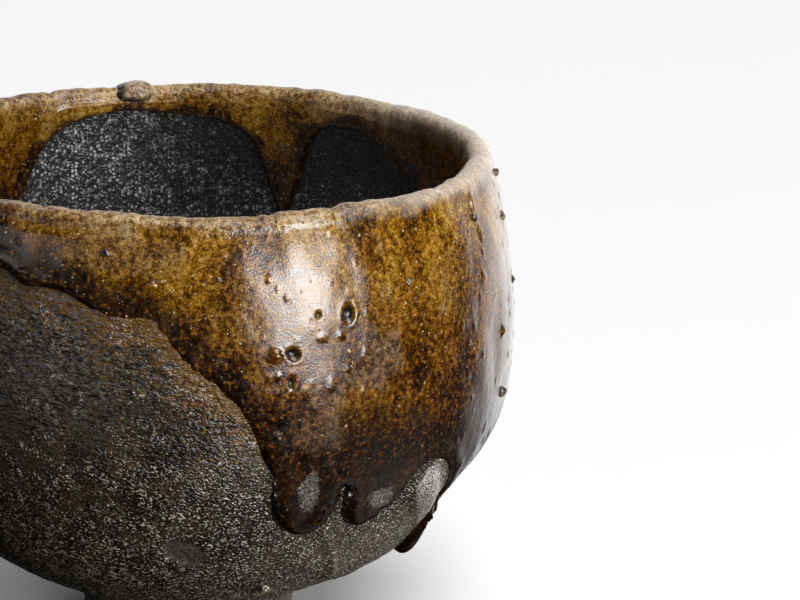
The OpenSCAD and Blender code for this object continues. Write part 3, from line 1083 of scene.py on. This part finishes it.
def glaze_paint(name, brown_at, black_at, pooled_within, shaded_sides, lift=0.0):
    """Runny ash glaze: dry and pale at the rim, amber on the wall, black where it pools. It
    turns brown and then black over those distances below the lip, dark within that distance
    of its edge, and, as painted shade, browner from each first X to the second, where its
    dark edge also widens. Lift makes all its tones lighter, as painted light."""
    paint = Paint(name)
    edge, rim = paint.value("edge"), paint.value("rim")
    pit, crystal = paint.value("pit"), paint.value("crystal")
    grain = paint.noise(0.36, 2, shift=6, rough=0.65)
    mottle = paint.noise(1.0, 3, (1, 1, 1.1), 0, 7, 0.6)
    streaks = paint.noise(2.6, 3, (1, 1, 3.5), 0, 1)
    clouds = paint.noise(9, 2, (1, 1, 1.6), 0, 2)
    tone = paint.tone((grain, 0.85), (mottle, 0.8), (streaks, 0.35), (clouds, 0.85))
    # Painted light: lift makes every tone lighter
    tone = paint.plus(tone, lift)
    broad = paint.tone((streaks, 0.8), (clouds, 1.4))

    golden = paint.ramp(
        tone, (0.24, (0.014, 0.005, 0.001)), (0.4, (0.075, 0.026, 0.001)),
        (0.52, (0.188, 0.08, 0.003)), (0.66, (0.345, 0.175, 0.012)), (0.82, (0.55, 0.37, 0.11)))
    taupe = paint.ramp(
        tone, (0.25, (0.02, 0.012, 0.008)), (0.48, (0.085, 0.055, 0.035)), (0.75, (0.26, 0.2, 0.14)))
    brown = paint.ramp(
        tone, (0.28, (0.006, 0.002, 0.001)), (0.48, (0.046, 0.013, 0.0005)),
        (0.66, (0.17, 0.065, 0.003)), (0.85, (0.34, 0.2, 0.03)))
    black = paint.ramp(
        tone, (0.35, (0.002, 0.001, 0.001)), (0.6, (0.009, 0.003, 0.001)), (0.85, (0.05, 0.018, 0.002)))
    umber = paint.ramp(
        tone, (0.32, (0.003, 0.0015, 0.001)), (0.58, (0.02, 0.009, 0.005)), (0.85, (0.07, 0.033, 0.013)))
    dust = paint.ramp(
        grain, (0.35, (0.02, 0.017, 0.014)), (0.52, (0.11, 0.1, 0.09)), (0.68, (0.34, 0.32, 0.29)))

    paint.colour = golden
    paint.lay(taupe, paint.fit(clouds, 0.58, 0.7, 0.0, 0.5))
    uneven = paint.times(paint.minus(broad, 0.5), 0.45 * black_at[1])
    fallen = paint.plus(paint.minus(BOWL_H, paint.height("Z")), uneven)
    paint.lay(brown, paint.fit(fallen, *brown_at))
    paint.lay(black, paint.fit(fallen, *black_at))
    near = paint.plus(edge, paint.times(paint.minus(clouds, 0.5), 9.0))
    # Painted shade: browner, with a wider dark edge, on the sides that get less light
    for lit_x, shaded_x in shaded_sides:
        side = paint.fit(paint.height("X"), lit_x, shaded_x)
        paint.lay(brown, side, paint.fit(broad, 0.32, 0.6, 0.55, 1.0))
        near = paint.minus(near, paint.times(side, 2.5))
    paint.lay(taupe, crystal, 0.5)
    paint.lay(umber, paint.fit(near, pooled_within, 0.45 * pooled_within, 0.0, 0.93))
    # Painted reflection on the front runs, and a real pale deposit at the back
    paint.lay(dust, paint.fit(paint.plus(paint.value("dust"), paint.minus(tone, 0.5)), 0.35, 1.0))
    add_rim(paint, tone, mottle, rim)
    speck_bumps = add_specks(paint, mottle, fallen, edge)
    paint.lay((0.004, 0.004, 0.004), pit)

    dull = paint.most(paint.most(crystal, paint.times(rim, 0.9)), pit)
    rough = paint.plus(paint.fit(mottle, 0.35, 0.65, 0.14, 0.25), paint.times(dull, 0.09))
    bumps = [(clouds, 0.3), (paint.times(mottle, rim), 0.35), (grain, 0.035), *speck_bumps]
    return paint.finish(bumps, Roughness=rough, IOR=GLASSY_IOR)


def pebble_paint():
    """Tan where the ash fell on the pebble, with painted shade, near black, on its left and round its foot.
    """
    low, high = node_box("lip_stone")
    middle_x, _, middle_z = ((low + high) / 2).tolist()
    paint = Paint("ashed_pebble")
    shade = paint.noise(2.6, 4, shift=3)
    speck = paint.noise(0.7, 3, shift=5)
    uneven = paint.times(paint.minus(shade, 0.5), 5.0)
    left = paint.fit(paint.plus(paint.height("X"), uneven), middle_x - 1.2, middle_x - 2.8)
    foot = paint.fit(paint.plus(paint.height("Z"), uneven), middle_z - 0.4, middle_z - 1.6)
    paint.colour = paint.ramp(speck, (0.35, (0.12, 0.07, 0.03)), (0.62, (0.4, 0.28, 0.155)))
    # Painted shade: near black on the pebble's left and round its foot
    paint.lay((0.012, 0.009, 0.007), paint.most(left, foot))
    return paint.finish([(shade, 0.5), (speck, 0.15)], Roughness=0.35, Coat_Weight=0.3, Coat_Roughness=0.15)


def grain_paint():
    """Fused pale grit, dark in its hollows."""
    paint = Paint("fused_grain")
    shade = paint.noise(0.9, 3, shift=2)
    paint.colour = paint.ramp(
        shade, (0.35, (0.01, 0.007, 0.004)), (0.5, (0.06, 0.035, 0.016)), (0.7, (0.3, 0.22, 0.13)))
    return paint.finish([(shade, 0.12)], Roughness=0.3, Coat_Weight=0.3)


def floor_paint():
    paint = Paint("plain_floor")
    paint.colour = (0.88, 0.88, 0.88, 1)
    return paint.finish(Roughness=0.8)


# ---- studio

# Softboxes: name, width, height, radiance, azimuth, elevation, distance. The window is a
# bright core in a veil, and a weak one across from it puts sparkle on the clay.
SOFTBOXES = [
    ("window_core", 320, 270, 14.5, 38, 7.5, 900), ("window_veil", 540, 420, 3.4, 39, 7, 950),
    ("left_fill", 420, 260, 1.1, -58, 9, 900),
]

# Wide soft light from a part of the sky: name, strength, azimuth, elevation
SKIES = [("sky", 2.9, 52, 62), ("back_sky", 0.6, -165, 35)]
SKY_ANGLE = 45
BACKDROP = (0.98, 0.98, 0.98)
SKY_DISTANCE = 2000

# The camera stands in front of the rim's middle at this distance and elevation, and looks
# down and to the right by these angles
VIEW_DISTANCE = 600
VIEW_ELEVATION = 13.1
LOOK_DOWN = 15.87
LOOK_RIGHT = 3.774
LENS = 144.45
SENSOR_WIDTH = 36


def build_floor():
    """A plain pale floor that catches the bowl's shadow."""
    half = 40 * CLAY_R
    corners = [(-half, -half, 0), (half, -half, 0), (half, half, 0), (-half, half, 0)]
    floor = add_mesh("studio_floor", floor_paint(), corners, [[0, 1, 2, 3]])
    floor.visible_glossy = False
    floor.visible_diffuse = False


def toward(azimuth, elevation):
    """Unit vector outwards, by angles right of the bowl's front and above the floor."""
    a, e = math.radians(azimuth), math.radians(elevation)
    return Vector((math.sin(a) * math.cos(e), -math.cos(a) * math.cos(e), math.sin(e)))


def add_lamp(name, data, direction, distance):
    """A lamp that shines on the bowl's middle."""
    lamp = bpy.data.objects.new(name, data)
    lamp.location = Vector((0, 0, BOWL_H / 2)) * MM + direction * distance * MM
    lamp.rotation_euler = direction.to_track_quat("Z", "Y").to_euler()
    bpy.context.scene.collection.objects.link(lamp)


def build_lamps():
    """Softboxes round the front, and wide soft light from above and behind."""
    for name, width, height, radiance, azimuth, elevation, distance in SOFTBOXES:
        box = bpy.data.lights.new(name, "AREA")
        box.shape = "RECTANGLE"
        box.size, box.size_y = width * MM, height * MM
        box.energy = radiance * math.pi * box.size * box.size_y
        add_lamp(name, box, toward(azimuth, elevation), distance)
    for name, strength, azimuth, elevation in SKIES:
        sky = bpy.data.lights.new(name, "SUN")
        sky.energy = strength
        sky.angle = math.radians(SKY_ANGLE)
        add_lamp(name, sky, toward(azimuth, elevation), SKY_DISTANCE)


def build_world():
    """White behind the bowl, dim in front, a glow off the floor, and a plain white backdrop."""
    world = bpy.data.worlds.new("studio")
    bpy.context.scene.world = world
    world.use_nodes = True
    nodes = Nodes(world.node_tree)
    direction = nodes.node("ShaderNodeTexCoord", {}).outputs["Generated"]

    def level(weights, low, high, dim, bright):
        """Light level that rises from dim to bright with direction along the weights."""
        along = nodes.node("ShaderNodeVectorMath", {0: direction, 1: weights}, operation="DOT_PRODUCT")
        return nodes.fit(along.outputs["Value"], low, high, dim, bright)

    behind = level((0.5, 0.87, 0), 0.78, 0.97, 0.03, 1.8)
    above = level((0, 0, 1), -0.62, -0.32, 0.03, 1.0)
    bounced = level((0.6, -0.05, -0.8), 0.8, 1.0, 0.0, 0.25)
    glow = nodes.plus(nodes.times(behind, above), bounced)
    seen = nodes.node("ShaderNodeLightPath", {}).outputs["Is Camera Ray"]
    backdrop = nodes.mix(glow, BACKDROP, seen)
    nodes.put(world.node_tree.nodes["Background"].inputs["Color"], backdrop)


def aim_camera():
    """The viewer's place: in front, a little above the rim, looking past the bowl's right."""
    pitch, yaw = math.radians(LOOK_DOWN), math.radians(LOOK_RIGHT)
    level = Vector((0, math.cos(pitch), -math.sin(pitch)))
    across = Vector((1, 0, 0))
    forward = level * math.cos(yaw) + across * math.sin(yaw)
    right = across * math.cos(yaw) - level * math.sin(yaw)
    up = right.cross(forward)
    data = bpy.data.cameras.new("viewer")
    data.lens, data.sensor_width = LENS, SENSOR_WIDTH
    camera = bpy.data.objects.new("viewer", data)
    place = Vector((0, 0, BOWL_H)) * MM + toward(0, VIEW_ELEVATION) * VIEW_DISTANCE * MM
    camera.matrix_world = Matrix.Translation(place) @ Matrix((right, up, -forward)).transposed().to_4x4()
    bpy.context.scene.collection.objects.link(camera)
    bpy.context.scene.camera = camera


build_clay(wall_clay())
build_foot(foot_clay())
# Painted shade outside: browner towards the left
outside_look = [(7, 28), (33, 45), 7.5, [(-14, -34)]]
# Painted shade inside: browner towards both sides; the last number lifts every tone as painted light
inside_look = [(8, 15), (13, 18), 1.7, [(-14, -34), (14, 34)], 0.08]
coat_glaze = glaze_paint("ash_glaze_outside", *outside_look)
drop_glaze = glaze_paint("pooled_glaze", *outside_look)
build_outer_glaze(coat_glaze, drop_glaze)
build_inner_glaze(glaze_paint("ash_glaze_inside", *inside_look))
build_lip_stone(pebble_paint())
build_grains(grain_paint())

build_floor()
build_lamps()
build_world()
aim_camera()
bpy.context.scene.view_settings.view_transform = "Standard"
